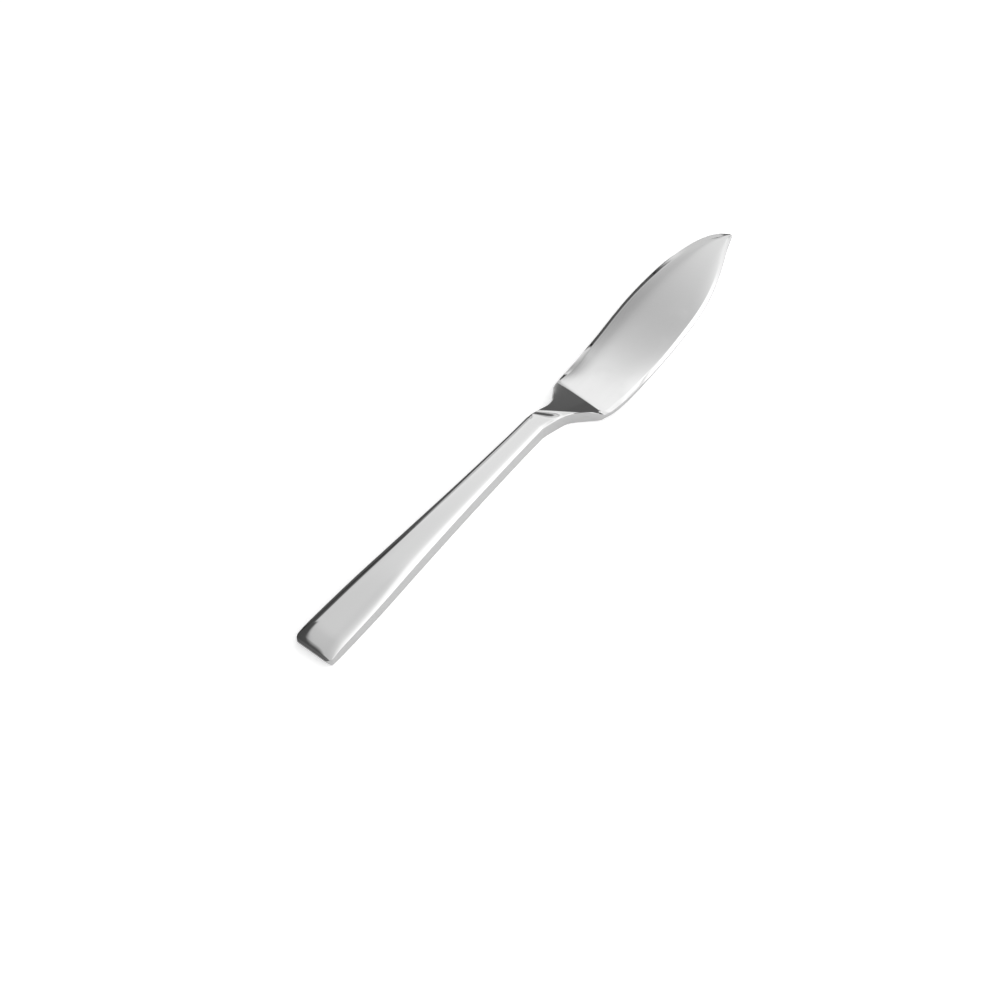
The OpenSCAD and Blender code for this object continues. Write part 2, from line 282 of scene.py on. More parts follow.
def place(x, y, z):
    """A point given from the square end and over the seam, in the model's metres."""
    return Vector(((x - HANDLE["length"] / 2) * MM, y * MM, (SEAM_Z + z) * MM))


def finish_mesh(name, points, faces):
    """An object with smooth shading, sharp only at real edges."""
    mesh = bpy.data.meshes.new(name)
    mesh.from_pydata([tuple(p) for p in points], [], faces)
    shape = bmesh.new()
    shape.from_mesh(mesh)
    bmesh.ops.remove_doubles(shape, verts=shape.verts, dist=WELD)
    bmesh.ops.recalc_face_normals(shape, faces=shape.faces)
    for face in shape.faces:
        face.smooth = True
    for edge in shape.edges:
        edge.smooth = not (edge.is_manifold and edge.calc_face_angle(0.0) > SHARP)
    open_edges = sum(not edge.is_manifold for edge in shape.edges)
    shape.to_mesh(mesh)
    shape.free()
    obj = bpy.data.objects.new(name, mesh)
    bpy.context.scene.collection.objects.link(obj)
    weigh = obj.modifiers.new("flat ends", "WEIGHTED_NORMAL")
    weigh.keep_sharp = True
    print(name, "faces:", len(mesh.polygons), "open edges:", open_edges)
    return obj


print("the model starts at, m:", [round(v, 4) for v in place(0, 0, -SEAM_Z)])

# %% Skins over rings
def ring(x, slant, up, down):
    """A full ring of points: over the face and back under it."""
    return ([place(x + slant * y, y, z) for y, z in up]
            + [place(x + slant * y, y, -z) for y, z in reversed(down)])


def loft(rings):
    """Points and faces of a closed skin over rings with equal numbers of points."""
    n = len(rings[0])
    points = [p for ring in rings for p in ring]
    faces = [(i * n + j, i * n + (j + 1) % n, (i + 1) * n + (j + 1) % n, (i + 1) * n + j)
             for i in range(len(rings) - 1) for j in range(n)]
    faces.append(tuple(reversed(range(n))))
    faces.append(tuple((len(rings) - 1) * n + j for j in range(n)))
    return points, faces


print("faces over two rings of four points:", len(loft([[0, 0, 0, 0], [1, 1, 1, 1]])[1]))

# %% [markdown]
# ## The handle
#
# A hollow handle is pressed from sheet as two half shells, brazed along the seam and polished
# until the seam is gone. One solid bar would look the same from outside, but whoever takes the
# model apart would find no shells. So each half is a real shell here: an outer skin, an inner skin
# one sheet inside it, a rim between them along the seam and another round the mouth.

# %% Shape of the handle along its length
def handle_half(x):
    """Half the width, without the rounding of the corners."""
    swing = line_through(HANDLE_HALF, x / HANDLE["length"])
    return between(HANDLE["mouth_w"], HANDLE["end_w"], swing) / 2


def handle_side(x):
    """From the middle line to the side."""
    return handle_half(x) - arc_fall(HANDLE["corner_r"], x)


def end_drop(x, full, fall, length):
    """What the fall and the bevel at the square end take off a full height."""
    gentle = fall * (1 - min(x / HANDLE["end_fall_l"], 1)) ** 3
    return gentle + (full - fall - HANDLE["rim"]) * (1 - min(x / length, 1))


def handle_rise(x):
    """Height of the upper face over the seam."""
    swell = HANDLE["swell_at"] * HANDLE["length"]
    if x < swell:
        rise = between(HANDLE["end_rise"], HANDLE["swell_rise"], step_up(x / swell))
    else:
        rise = between(HANDLE["swell_rise"], HANDLE["mouth_rise"],
                       step_up((x - swell) / (HANDLE["length"] - swell)))
    return rise - end_drop(x, HANDLE["end_rise"], HANDLE["end_fall"], HANDLE["nose"])


def handle_depth(x):
    """Depth of the lower face under the seam, before the land is ground off."""
    return HANDLE["drop"] - end_drop(x, HANDLE["drop"], HANDLE["under_fall"], HANDLE["under_nose"])


for x in (0, HANDLE["swell_at"] * HANDLE["length"], HANDLE["length"]):
    print("handle at", round(x, 1), "mm: half width", round(handle_half(x), 2),
          "height", round(handle_rise(x), 2), "depth", round(handle_depth(x), 2))

# %% Sections of the handle
def handle_crown(x, rise):
    """Crown of a face that stands this high at x."""
    return HANDLE["crown"] * handle_half(x) * rise / HANDLE["swell_rise"]


def handle_edge(rise):
    """Radius of the long edges where a face stands this high."""
    return HANDLE["edge_r"] * rise / HANDLE["swell_rise"]


def inset_section(x, rise, crown, inset):
    """Half a section of the handle, or of something inset in it, whose edges are half as round."""
    r = handle_edge(rise) if inset == 0 else handle_edge(rise) / 2
    return round_section(handle_side(x) - inset, rise - inset, crown, r)


def upper_section(x, inset=0.0):
    """The half over the seam."""
    return inset_section(x, handle_rise(x), handle_crown(x, handle_rise(x)), inset)


def lower_section(x, inset=0.0):
    """The half under the seam, which has less of a crown."""
    crown = HANDLE["under_crown"] * handle_crown(x, handle_depth(x))
    return inset_section(x, handle_depth(x), crown, inset)


# The corners are round, so the sections start close together and then keep an even distance
ROUND_STEPS, LONG_STEPS = 12, 130
outer_x = [HANDLE["corner_r"] * (1 - math.cos(math.radians(90 * i / ROUND_STEPS)))
           for i in range(ROUND_STEPS)]
outer_x = sorted(outer_x + [HANDLE["nose"], HANDLE["under_nose"]])
outer_x += [between(HANDLE["corner_r"], HANDLE["length"], i / LONG_STEPS)
            for i in range(LONG_STEPS + 1)]
inner_x = [between(HANDLE["end_wall"], HANDLE["length"], i / (len(outer_x) - 1))
           for i in range(len(outer_x))]
print("sections along each skin of a shell:", len(outer_x))

# %% Two half shells
def half_shell(name, section_at, way):
    """One half of the handle; way is 1 over the seam and -1 under it."""
    def strip(x, inset):
        section = section_at(x, inset)
        section = [(section[0][0], 0.0)] + section + [(section[-1][0], 0.0)]
        floor = -SEAM_Z if way < 0 and inset == 0 else -math.inf
        return [place(x, y, max(way * z, floor)) for y, z in section]

    strips = [strip(x, 0) for x in outer_x] + [strip(x, HANDLE["sheet"]) for x in inner_x]
    n, m = len(strips[0]), len(outer_x)

    def outer(i, j):
        return i * n + j

    def inner(i, j):
        return (m + i) * n + j

    faces = []
    for i in range(m - 1):
        for j in range(n - 1):
            faces.append((outer(i, j), outer(i, j + 1), outer(i + 1, j + 1), outer(i + 1, j)))
            faces.append((inner(i, j), inner(i + 1, j), inner(i + 1, j + 1), inner(i, j + 1)))
        for j in (0, n - 1):
            faces.append((outer(i, j), outer(i + 1, j), inner(i + 1, j), inner(i, j)))
    for j in range(n - 1):
        faces.append((outer(m - 1, j), outer(m - 1, j + 1), inner(m - 1, j + 1), inner(m - 1, j)))
    faces.append((outer(0, 0), inner(0, 0), inner(0, n - 1), outer(0, n - 1)))
    faces.append(tuple(outer(0, j) for j in range(n)))
    faces.append(tuple(inner(0, j) for j in reversed(range(n))))
    return finish_mesh(name, [p for points in strips for p in points], faces)


upper = half_shell("polished_upper_shell", upper_section, 1)
lower = half_shell("polished_lower_shell", lower_section, -1)
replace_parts(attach(upper, "root"), "handle_upper_shell")
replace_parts(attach(lower, "root"), "handle_lower_shell")

# %% [markdown]
# ## The blade
#
# Blade, neck and tang are one forging. The neck leaves the handle as thick as its mouth, spreads,
# and steps down over a shoulder to the thin blade. The sections lean with the slanted foot of the
# shoulder and are square at its end, so both creases run along one ring and stay crisp. A Boolean
# cut would make the slope as well, but it leaves long thin faces, and a mirror shows those.

# %% Shape of the forging along its length
def lean(x):
    """How far a section at x leans: its shift along the knife for each step across."""
    foot = -math.tan(math.radians(NECK["foot_angle"]))
    if x < FOOT_X:
        return foot * step_up((x - HANDLE["length"]) / NECK["length"])
    return foot * (1 - min((x - FOOT_X) / NECK["slope"], 1))


def forging_rise(x, mouth=HANDLE["mouth_rise"]):
    """Height of a face over the seam, or depth under it, from the mouth to the tip."""
    if x < FOOT_X:
        fall = (x - HANDLE["length"]) / NECK["length"] - NECK["fall_from"]
        return between(mouth, NECK["rise"], step_up(fall / (NECK["fall_to"] - NECK["fall_from"])))
    if x < SHOULDER_X:
        return between(NECK["rise"], NECK["shoulder_rise"], (x - FOOT_X) / NECK["slope"])
    return between(NECK["shoulder_rise"], BLADE["tip_rise"], blade_place(x))


def forging_crown(x, start, width):
    """Crown of a face this wide, which starts at the mouth with the handle's."""
    if x < SHOULDER_X:
        return between(start, BLADE["shoulder_crown"],
                       step_up((x - HANDLE["length"]) / NECK["length"]))
    full = between(BLADE["shoulder_crown"], BLADE["crown"],
                   step_up((x - SHOULDER_X) / BLADE["crown_l"]))
    return full * width / (BLADE["back_w"] + BLADE["belly_w"])


for x in (HANDLE["length"], FOOT_X, SHOULDER_X, TIP_X):
    print("forging at", round(x, 1), "mm: height", round(forging_rise(x), 2),
          "lean", round(lean(x), 2))

# %% [markdown]
# ## The bevels
#
# Where the neck leaves the handle its edges are round, as the handle's are. On the way to the
# blade they turn into flat bevels, which are deepest along the blade's middle and shallow just past
# the shoulder line and at the tip. A Bevel modifier would need a weight for every edge, so the
# bevels are part of the sections instead.

# %% Edges of the forging
# Width and depth of the bevels along the blade, as shares of their full sizes
BELLY_BEVEL = [[0, 1.25], [0.1, 1.3], [0.25, 1], [0.6, 1], [0.8, 0.9], [1, 0.8]]
BACK_BEVEL = [[0, 0.3], [0.1, 1.4], [0.25, 1], [0.6, 1], [0.7, 1.15], [1, 1.2]]
BEVEL_DEPTH = [[0, 0.7], [0.05, 0.45], [0.1, 0.3], [0.2, 0.6], [0.3, 1], [0.6, 0.9],
               [0.7, 0.5], [0.78, 0.3], [0.88, 0.15], [1, 0.08]]
# How far to each side the outline is read for its direction, as a share of the blade
PROBE = 0.01


def stretch_at(reach, x):
    """How much longer a slanted outline makes a cut that is straight across the knife."""
    probe = PROBE * BLADE["length"]
    return math.hypot(1, (reach(x + probe) - reach(x - probe)) / probe / 2)


def forging_edges(x, room):
    """Widths of the edge on the cutting side and the back, its depth and its profile."""
    t = step_up((x - HANDLE["length"]) / (NECK["length"] + NECK["slope"] / 2))
    start = handle_edge(HANDLE["mouth_rise"])
    widths = []
    for reach, shares in ((belly_reach, BELLY_BEVEL), (back_reach, BACK_BEVEL)):
        wide = BLADE["bevel_w"] * line_through(shares, blade_place(x))
        widths.append(min(stretch_at(reach, x) * between(ROUND_W * start, wide, t), room))
    deep = BLADE["bevel_t"] * line_through(BEVEL_DEPTH, blade_place(x))
    depth = between(ROUND_T * start, deep, t)
    profile = [(between(a, c, t), between(b, d, t)) for (a, b), (c, d) in zip(ROUND, BEVEL)]
    return widths, depth, profile


print("bevels at the shoulder line, mm:",
      [round(width, 2) for width in forging_edges(SHOULDER_X, math.inf)[0]])

# %% Rings of the forging
# Rounds in which a leaning section finds the outline
MEET_ROUNDS = 6


def met(reach, x, slant):
    """Where a leaning section meets an outline."""
    y = reach(x)
    for _ in range(MEET_ROUNDS):
        y = reach(x + slant * y)
    return y


def forging_ring(x):
    """A ring round the neck or the blade, flat underneath where the land is."""
    slant = lean(x)
    back, belly = met(back_reach, x, slant), met(belly_reach, x, -slant)
    width = back + belly
    edges = forging_edges(x, BLADE["bevel_room"] * width)
    crown = handle_crown(HANDLE["length"], HANDLE["mouth_rise"])
    over = half_section(back, belly, forging_rise(x), forging_crown(x, crown, width), *edges)
    under = half_section(back, belly, forging_rise(x, HANDLE["drop"]),
                         forging_crown(x, HANDLE["under_crown"] * crown, width), *edges)
    return ring(x, slant, over, [(y, min(z, SEAM_Z)) for y, z in under])


def tang_ring(x):
    """A ring round the tang, with both halves alike."""
    half = round_section(TANG["width"] / 2, TANG["thick"] / 2, 0, TANG["edge_r"])
    return ring(x, 0, half, half)


def spigot_ring(x):
    """A ring round the spigot, which fills the hollow of the mouth but for its play."""
    inset = HANDLE["sheet"] + HANDLE["gap"]
    return ring(x, 0, upper_section(x, inset), lower_section(x, inset))


print("points in a ring:", len(tang_ring(0)))

# %% The forging
# Rings stand evenly along the neck and a little closer together towards the tip
NECK_STEPS, BLADE_STEPS = 46, 130
TIP_CROWDING = 0.9
# Two more stand at each crease, this far before and behind it in millimetres
FOOT_CREASE, LINE_CREASE = 0.1, 0.12
# The last ring stands just before the tip, because it needs a width of its own
LAST_RING = 0.994

spigot_x = HANDLE["length"] - TANG["spigot"]
neck_x = [between(HANDLE["length"], SHOULDER_X, i / NECK_STEPS) for i in range(NECK_STEPS)]
blade_x = [SHOULDER_X + BLADE["length"] * LAST_RING * (i / BLADE_STEPS) ** TIP_CROWDING
           for i in range(1, BLADE_STEPS + 1)]
creases = [FOOT_X - FOOT_CREASE, FOOT_X + FOOT_CREASE,
           SHOULDER_X - LINE_CREASE, SHOULDER_X + LINE_CREASE]
rings = [tang_ring(spigot_x - TANG["length"]), tang_ring(spigot_x),
         spigot_ring(spigot_x), spigot_ring(HANDLE["length"])]
rings += [forging_ring(x) for x in sorted(neck_x + blade_x + creases)]
blade = finish_mesh("polished_blade", *loft(rings))
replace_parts(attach(blade, "root"), "blade")

# %% [markdown]
# ## Writing shader maths as sums
#
# A finish is mostly arithmetic on noises and masks. Wiring Math nodes by hand hides it, so a small
# class wraps a socket and lets the usual signs add the nodes. Colours go through Mix nodes.

# %% Sockets that can be added and multiplied
class Wire:
    """An output socket in a node tree."""

    def __init__(self, tree, socket):
        self.tree, self.socket = tree, socket

    def maths(self, operation, first, second):
        """A Math node on two values, each a wire or a number."""
        node = self.tree.nodes.new("ShaderNodeMath")
        node.operation = operation
        for slot, value in zip(node.inputs, (first, second)):
            if isinstance(value, Wire):
                self.tree.links.new(value.socket, slot)
            else:
                slot.default_value = value
        return Wire(self.tree, node.outputs[0])

    def __add__(self, other):
        return self.maths("ADD", self, other)

    __radd__ = __add__

    def __sub__(self, other):
        return self.maths("SUBTRACT", self, other)

    def __rsub__(self, other):
        return self.maths("SUBTRACT", other, self)

    def __mul__(self, other):
        return self.maths("MULTIPLY", self, other)

    __rmul__ = __mul__

    def at_least(self, other):
        """The larger of the two, at each place."""
        return self.maths("MAXIMUM", self, other)


print("signs that add nodes: + - *")

# %% Any other node
# A Mix node has sockets of several kinds, and these are the places of its colour ones
MIX_SHARE, MIX_FIRST, MIX_SECOND, MIX_RESULT = 0, 6, 7, 2


class Finish:
    """A node tree being written: add() makes any node and returns one of its outputs."""

    def __init__(self, tree):
        self.tree = tree
        tree.nodes.clear()

    def add(self, kind, settings=None, inputs=None, output=0):
        node = self.tree.nodes.new(kind)
        for key, value in (settings or {}).items():
            if key == "stops":
                self.set_stops(node.color_ramp, value)
            else:
                setattr(node, key, value)
        for key, value in (inputs or {}).items():
            if isinstance(value, Wire):
                self.tree.links.new(value.socket, node.inputs[key])
            else:
                node.inputs[key].default_value = value
        return Wire(self.tree, node.outputs[output]) if node.outputs else None

    def set_stops(self, ramp, stops):
        """Give a ramp of greys its (place, grey) stops."""
        while len(ramp.elements) < len(stops):
            # a new stop may start anywhere, because its place is set below
            ramp.elements.new(0.5)
        for element, (at, tone) in zip(ramp.elements, stops):
            element.position = at
            element.color = grey(tone)

    def mix(self, share, first, second, blend="MIX"):
        """A share of the way from one colour to another, or of the way to their product."""
        return self.add("ShaderNodeMix", {"data_type": "RGBA", "blend_type": blend},
                        {MIX_SHARE: share, MIX_FIRST: first, MIX_SECOND: second}, MIX_RESULT)

    def noise(self, where, scale, detail, roughness=0.5):
        return self.add("ShaderNodeTexNoise", {"noise_dimensions": "3D"},
                        {"Vector": where, "Scale": scale, "Detail": detail,
                         "Roughness": roughness}, "Fac")

    def turn(self, value, start, end, before=0.0, after=1.0):
        """A smooth step: before where value is under start, after where it is over end."""
        return self.add("ShaderNodeMapRange", {"interpolation_type": "SMOOTHSTEP"},
                        {"Value": value, "From Min": start, "From Max": end,
                         "To Min": before, "To Max": after})

    def lamp(self, colour, strength):
        return self.add("ShaderNodeEmission", {}, {"Color": colour, "Strength": strength})


def grey(tone):
    """A colour without a hue."""
    return (tone, tone, tone, 1)


def new_finish(name):
    """A material and the finish that is written in it."""
    material = bpy.data.materials.new(name)
    material.use_nodes = True
    return material, Finish(material.node_tree)


print("mid grey:", grey(0.5))

# %% [markdown]
# ## Polished stainless steel
#
# Cutlery steel is buffed along its length. From a hand's distance it is a grey mirror, and its
# reflections are softened by fine hairlines, by faint clouds left by the buffing wheel and by the
# dull specks of use. So the colour is nearly constant, while roughness and a very shallow bump
# carry those marks. The hairlines are a noise squeezed across the knife and drawn out along it.
# An image of scratches could carry them too, but a noise is never too coarse and never repeats.

# %% Marks in the steel
# How fine each noise is along, across and through the knife
HANDLE_HAIRS, BLADE_HAIRS = (60.0, 5200.0, 5200.0), (80.0, 4600.0, 4600.0)
LONG_HAIRS = (9.0, 2600.0, 2600.0)
CLOUDS, EVEN = (0.5, 1.6, 1.6), (1, 1, 1)
CLOUD_SCALE, SCUFF_SCALE, SPECK_SCALE = 55.0, 140.0, 420.0
# Where in its noise a scuffed patch begins and is full, and how far from its middle a speck fades
SCUFF_FROM, SCUFF_TO = 0.52, 0.75
SPECK_FROM, SPECK_TO = 0.05, 0.12


def swing(noise, amount):
    """A noise that averages a half, turned into a small change around zero."""
    return (noise - 0.5) * amount


def steel_marks(steel, hair_stretch):
    """Clouds, hairlines, long hairlines, scuffed patches, and the specks in those patches."""
    where = steel.add("ShaderNodeTexCoord", output="Object")

    def drawn(stretch, scale, detail, roughness=0.5):
        spot = steel.add("ShaderNodeVectorMath", {"operation": "MULTIPLY"},
                         {0: where, 1: stretch})
        return steel.noise(spot, scale, detail, roughness)

    clouds = drawn(CLOUDS, CLOUD_SCALE, detail=3.0)
    hairs = drawn(hair_stretch, 1.0, detail=2.0, roughness=0.6)
    long_hairs = drawn(LONG_HAIRS, 1.0, detail=1.0)
    scuffs = steel.turn(drawn(EVEN, SCUFF_SCALE, detail=4.0), SCUFF_FROM, SCUFF_TO)
    spots = steel.add("ShaderNodeTexVoronoi", {"feature": "F1", "distance": "EUCLIDEAN"},
                      {"Vector": where, "Scale": SPECK_SCALE, "Randomness": 1.0}, "Distance")
    specks = steel.turn(spots, SPECK_FROM, SPECK_TO, before=1.0, after=0.0) * scuffs
    return clouds, hairs, long_hairs, scuffs, specks


print("hairlines on the handle are", round(HANDLE_HAIRS[1] / HANDLE_HAIRS[0]),
      "times as long as they are wide, on the blade", round(BLADE_HAIRS[1] / BLADE_HAIRS[0]))

# %% The steel
# What the marks do to the grey, to the roughness and to the relief
STEEL_DARK, STEEL_LIGHT = grey(0.53), grey(0.6)
SHADE = dict(middle=0.5, clouds=0.06, hairs=0.03)
ROUGH = dict(polish=0.07, clouds=0.04, long_hairs=0.03, scuffs=0.025, specks=0.12)
RELIEF = dict(hairs=0.5, long_hairs=0.5, specks=0.6)
# Strength of the relief, and its depth in metres
RELIEF_STRENGTH, RELIEF_DEPTH = 0.1, 0.000004


def polished_steel(name, hair_stretch):
    """A grey mirror that carries the marks."""
    material, steel = new_finish(name)
    clouds, hairs, long_hairs, scuffs, specks = steel_marks(steel, hair_stretch)
    shade = swing(clouds, SHADE["clouds"]) + swing(hairs, SHADE["hairs"]) + SHADE["middle"]
    rough = (ROUGH["polish"] + swing(clouds, ROUGH["clouds"])
             + swing(long_hairs, ROUGH["long_hairs"])
             + scuffs * ROUGH["scuffs"] + specks * ROUGH["specks"])
    height = (hairs * RELIEF["hairs"] + long_hairs * RELIEF["long_hairs"]
              - specks * RELIEF["specks"])
    bump = steel.add("ShaderNodeBump", {}, {"Strength": RELIEF_STRENGTH,
                                            "Distance": RELIEF_DEPTH, "Height": height})
    shader = steel.add("ShaderNodeBsdfPrincipled", {},
                       {"Base Color": steel.mix(shade, STEEL_DARK, STEEL_LIGHT),
                        "Metallic": 1.0, "Roughness": rough, "Normal": bump})
    steel.add("ShaderNodeOutputMaterial", {}, {"Surface": shader})
    return material


steel_handle = polished_steel("polished_steel_handle", HANDLE_HAIRS)
steel_blade = polished_steel("polished_steel_blade", BLADE_HAIRS)
for piece, material in ((upper, steel_handle), (lower, steel_handle), (blade, steel_blade)):
    piece.data.materials.append(material)
    print(piece.name, "is finished in", material.name)

# %% [markdown]
# ## The filling
#
# The cement round the tang is never seen on a whole knife. It still gets the look of the set
# resin and sand that it is, for whoever opens the model: matt, pale brown and grainy. Its shape
# needs no skin of its own, so the measured solid keeps its place and only takes the finish.

# %% The cement
GRAIN_SCALE, DRIFT_SCALE = 1800.0, 90.0
GRAIN_SHARE = 0.6
DARK_CEMENT, PALE_CEMENT = (0.3, 0.25, 0.18, 1), (0.6, 0.53, 0.42, 1)
CEMENT_ROUGH, GRAIN_ROUGH = 0.75, 0.2
GRAIN_STRENGTH, GRAIN_DEPTH = 0.5, 0.0001

cement_material, cement = new_finish("handle_cement")
where = cement.add("ShaderNodeTexCoord", output="Object")
grain = cement.noise(where, GRAIN_SCALE, detail=3.0)
drift = cement.noise(where, DRIFT_SCALE, detail=2.0)
colour = cement.mix(grain * GRAIN_SHARE + drift * (1 - GRAIN_SHARE), DARK_CEMENT, PALE_CEMENT)
bump = cement.add("ShaderNodeBump", {}, {"Strength": GRAIN_STRENGTH, "Distance": GRAIN_DEPTH,
                                         "Height": grain})
body = cement.add("ShaderNodeBsdfPrincipled", {},
                  {"Base Color": colour, "Roughness": grain * GRAIN_ROUGH + CEMENT_ROUGH,
                   "Normal": bump})
cement.add("ShaderNodeOutputMaterial", {}, {"Surface": body})
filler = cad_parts["handle_filler"]
filler.data.materials.clear()
filler.data.materials.append(cement_material)
print(filler.name, "is finished in", cement_material.name)

# %% [markdown]
# ## The table
#
# A mirror looks like what surrounds it, so the room matters as much as the metal. The knife lies
# on a white table. Its colour alone would come out grey under soft light, and stronger lamps would
# bleach the steel. So the table glows a little, in full for the camera and less in the steel, and
# still keeps the shadow under the knife.

# %% The table
# Half the table's side, and how far it lies under the knife so that the two never share a plane
TABLE_HALF, TABLE_GAP = 4.0, 0.00005
TABLE_GREY, TABLE_GLOW = 0.73, 0.52
MIRRORED_GLOW = 0.3


def flat(name, corners):
    """A flat sheet that belongs to the studio and not to the knife."""
    mesh = bpy.data.meshes.new(name)
    mesh.from_pydata(corners, [], [tuple(range(len(corners)))])
    obj = bpy.data.objects.new(name, mesh)
    bpy.context.scene.collection.objects.link(obj)
    return obj


table_top = flat("table_top", [(x * TABLE_HALF, y * TABLE_HALF, -TABLE_GAP)
                               for x, y in ((-1, -1), (1, -1), (1, 1), (-1, 1))])
table_material, table = new_finish("white_table")
by_camera = table.add("ShaderNodeLightPath", output="Is Camera Ray")
by_mirror = table.add("ShaderNodeLightPath", output="Is Glossy Ray")
seen = by_camera.at_least(by_mirror * MIRRORED_GLOW)
paint = table.add("ShaderNodeBsdfDiffuse", {}, {"Color": grey(TABLE_GREY)})
glow = table.lamp(grey(1), seen * TABLE_GLOW)
table.add("ShaderNodeOutputMaterial", {},
          {"Surface": table.add("ShaderNodeAddShader", {}, {0: paint, 1: glow})})
table_top.data.materials.append(table_material)
print("table, m:", [round(v, 2) for v in table_top.dimensions])

# %% [markdown]
# ## The overhead light
#
# One wide, soft light hangs over the table. A plain white sheet would make the steel plain white,
# so this one has tones, like a sheet of cloth lit from behind, and every tone is placed for what
# shows it. Seen from the camera, a level face shows the light about 240 mm further along X and
# 200 mm further along Y than itself. Along X the tone grows from what the square end shows to what
# the shoulder shows, sinks for the middle of the blade and grows again for the tip. The far side
# is dark and draws the dark line along the far edge, and the dark right end fills the slope.

# %% Tones along and across the light
# Sides of the light and its height, in metres
LEFT, RIGHT, NEAR, FAR, HEIGHT = -0.75, 0.75, -0.6, 0.85, 0.5
# Up to these two limits, the near part takes its tone from further back, by this shift
CORNER_X, CORNER_Y, CORNER_SHIFT = (0.178, 0.214), (0.12, 0.2), 0.13

overhead = flat("overhead_light",
                [(LEFT, NEAR, 0), (LEFT, FAR, 0), (RIGHT, FAR, 0), (RIGHT, NEAR, 0)])
overhead.location = (0, 0, HEIGHT)
light_material, light = new_finish("overhead_light")
spot = light.add("ShaderNodeTexCoord", output="Object")
across, deep = (light.add("ShaderNodeSeparateXYZ", {}, {0: spot}, axis) for axis in ("X", "Y"))


def tone_along(value, low, high, tones):
    """Greys at places between low and high, in metres, as one ramp."""
    share = light.add("ShaderNodeMapRange", {}, {"Value": value, "From Min": low, "From Max": high})
    stops = [((at - low) / (high - low), tone) for at, tone in tones]
    return light.add("ShaderNodeValToRGB", {"stops": stops}, {0: share})


def until(value, limit):
    """1 before a limit and 0 past it; the limit is a pair, because it is soft."""
    return light.turn(value, *limit, before=1.0, after=0.0)


shift = until(across, CORNER_X) * until(deep, CORNER_Y) * CORNER_SHIFT
long_tone = tone_along(across, LEFT, RIGHT, [
    (-0.75, 0.1), (-0.71, 0.1), (-0.63, 0.43), (-0.18, 0.46), (0.04, 0.48), (0.19, 0.55),
    (0.215, 0.595), (0.25, 0.61), (0.27, 0.625), (0.3, 0.68), (0.336, 0.83), (0.343, 0.68),
    (0.348, 0.54), (0.356, 0.48), (0.366, 0.40), (0.378, 0.46), (0.4, 0.64), (0.415, 0.74),
    (0.75, 0.74)])
deep_tone = tone_along(deep + shift, NEAR, FAR, [
    (-0.6, 1.0), (-0.3, 1.0), (-0.05, 0.95), (0.08, 0.70), (0.2, 0.62), (0.33, 0.59),
    (0.6, 0.5), (0.72, 0.3), (0.8, 0.06)])
print("overhead light, m:", [round(v, 2) for v in overhead.dimensions])

# %% Dark parts of the light
# The far side is dark past a slanted limit, which lies further back past the part that the square
# end shows, and again past the part that the middle of the blade shows
FAR_LIMIT, FAR_SLANT = (0.26, 0.36), 0.3
END_LIMIT, PAST_END = (0.193, 0.212), 0.1
MIDDLE_LIMIT, PAST_MIDDLE = (0.36, 0.4), 0.15
past_end = (1 - until(across, END_LIMIT)) * PAST_END
past_middle = (1 - until(across, MIDDLE_LIMIT)) * PAST_MIDDLE
far_side = until(deep - across * FAR_SLANT - past_end - past_middle, FAR_LIMIT)

# The right end is dark too, and nearer than the turn its limit slants outwards
RIGHT_LIMIT, TURN_AT, TURN_SLANT = (0.455, 0.476), 0.17, 1.6
outwards = ((TURN_AT - deep) * TURN_SLANT).at_least(0.0)
right_end = until(across - outwards, RIGHT_LIMIT)

# Between these limits, behind what the blade's face shows, the light is dimmer by this share
PATCH_X, PATCH_NEAR, PATCH_FAR, PATCH_SHARE = (0.325, 0.345), (0.206, 0.24), (0.3, 0.42), 0.3
patch = (1 - until(across, PATCH_X)) * (1 - until(deep, PATCH_NEAR))
patch = patch * until(deep, PATCH_FAR) * PATCH_SHARE

# Dark parts still give a share of the light
LEFT_OVER, LIGHT_STRENGTH = 0.13, 3.1
lit = far_side * right_end * (1 - patch) * (1 - LEFT_OVER) + LEFT_OVER
tone = light.mix(lit, grey(0), light.mix(1.0, long_tone, deep_tone, "MULTIPLY"))
light.add("ShaderNodeOutputMaterial", {}, {"Surface": light.lamp(tone, LIGHT_STRENGTH)})
overhead.data.materials.append(light_material)
print("nodes in the overhead light:", len(light.tree.nodes))

# %% [markdown]
# ## The side panels
#
# The rounded edges show what stands beside the table rather than what hangs over it. So one white
# panel stands along the near side, where it also brightens the table that the upright side shows,
# and another stands beyond the tip. Area lamps would do as well. Glowing sheets were chosen
# because a mirror shows them exactly as they stand here, corner by corner.

# %% Side panels
def upright_panel(name, start, end, low, high, strength):
    """A glowing sheet that stands between two places beside the table, in metres."""
    panel = flat(name, [(*start, low), (*end, low), (*end, high), (*start, high)])
    material, card = new_finish(name)
    card.add("ShaderNodeOutputMaterial", {}, {"Surface": card.lamp(grey(1), strength)})
    panel.data.materials.append(material)
    return panel


near_panel = upright_panel("near_panel", (-0.35, -0.6), (1.0, -0.6),
                           low=0.01, high=0.5, strength=1.9)
tip_panel = upright_panel("tip_panel", (1.0, -0.3), (1.0, 0.25),
                          low=0.02, high=0.55, strength=1.5)
for sheet in (overhead, near_panel, tip_panel):
    sheet.visible_camera = False
    print(sheet.name, "shows in the steel but not to the camera")

# %% [markdown]
# ## The room
#
# Beyond the lights the room is dim, and a world shader stands for its walls. They are a little
# lighter on the side that the camera looks from, so that a face that shows them is never black.

# %% The dim room
TOWARD_CAMERA_SIDE = (-0.7, -0.7, 0.1)
LIGHTER_FROM, LIGHTEST_AT = 0.3, 0.9
DIM_WALL, LIGHTER_WALL = grey(0.15), grey(0.4)

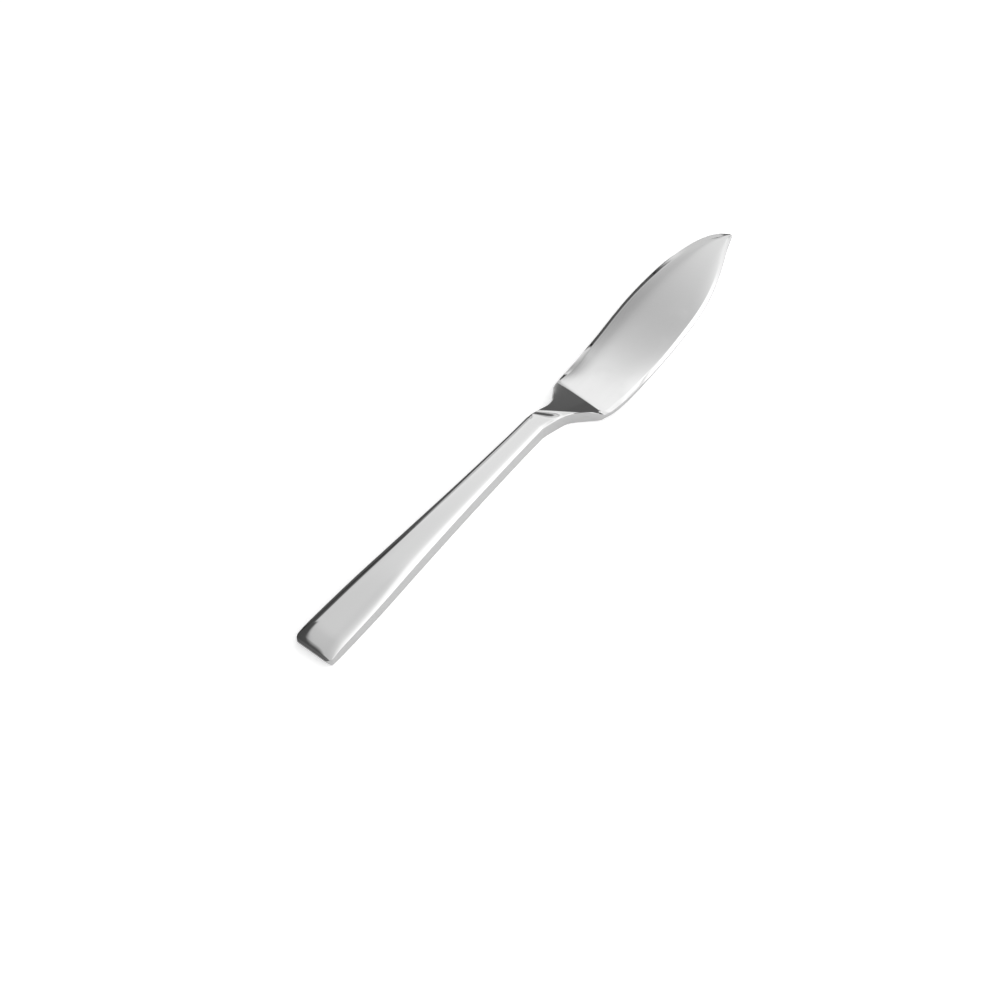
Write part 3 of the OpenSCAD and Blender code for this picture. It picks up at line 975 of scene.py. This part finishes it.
world = bpy.data.worlds.new("dim_room")
world.use_nodes = True
bpy.context.scene.world = world
room = Finish(world.node_tree)
direction = room.add("ShaderNodeTexCoord", output="Generated")
facing = room.add("ShaderNodeVectorMath", {"operation": "DOT_PRODUCT"},
                  {0: direction, 1: TOWARD_CAMERA_SIDE}, "Value")
wall = room.mix(room.turn(facing, LIGHTER_FROM, LIGHTEST_AT), DIM_WALL, LIGHTER_WALL)
room.add("ShaderNodeOutputWorld", {},
         {"Surface": room.add("ShaderNodeBackground", {}, {"Color": wall, "Strength": 1.0})})
print("walls of the room, from", DIM_WALL[0], "to", LIGHTER_WALL[0])

# %% [markdown]
# ## The camera
#
# The knife was taken from far away with a long lens, so parallel lines stay parallel. An
# orthographic camera does the same. It looks down at 57.5 degrees, across the knife from the
# handle's end, and its frame is about 324 mm wide. Its distance changes nothing in the picture, as
# long as all of the frame stays over the table.

# %% The camera
ELEVATION, TURN = math.radians(57.5), math.radians(50)
FRAME_PIXELS, PIXELS_PER_MM = 1000, 3.09
# Where the picture shows the foot of the square end, in pixels from its upper left corner
END_IN_FRAME = (311.7, 657.3)
CAMERA_AWAY = 3.0
CLIP_NEAR, CLIP_FAR = 0.01, 20

pixel, middle = MM / PIXELS_PER_MM, FRAME_PIXELS / 2
right = Vector((math.cos(TURN), -math.sin(TURN), 0))
up = Vector((math.sin(TURN) * math.sin(ELEVATION), math.cos(TURN) * math.sin(ELEVATION),
             math.cos(ELEVATION)))
back = right.cross(up)
centre = (place(0, 0, -SEAM_Z) + right * (middle - END_IN_FRAME[0]) * pixel
          + up * (END_IN_FRAME[1] - middle) * pixel)
lens = bpy.data.cameras.new("long_lens")
lens.type = "ORTHO"
lens.ortho_scale = FRAME_PIXELS * pixel
lens.clip_start, lens.clip_end = CLIP_NEAR, CLIP_FAR
camera = bpy.data.objects.new("camera", lens)
camera.matrix_world = Matrix((right, up, back)).transposed().to_4x4()
camera.location = centre + back * CAMERA_AWAY
bpy.context.scene.collection.objects.link(camera)
bpy.context.scene.camera = camera
bpy.context.scene.view_settings.view_transform = "Standard"
print("camera looks from", [round(v, 3) for v in back])
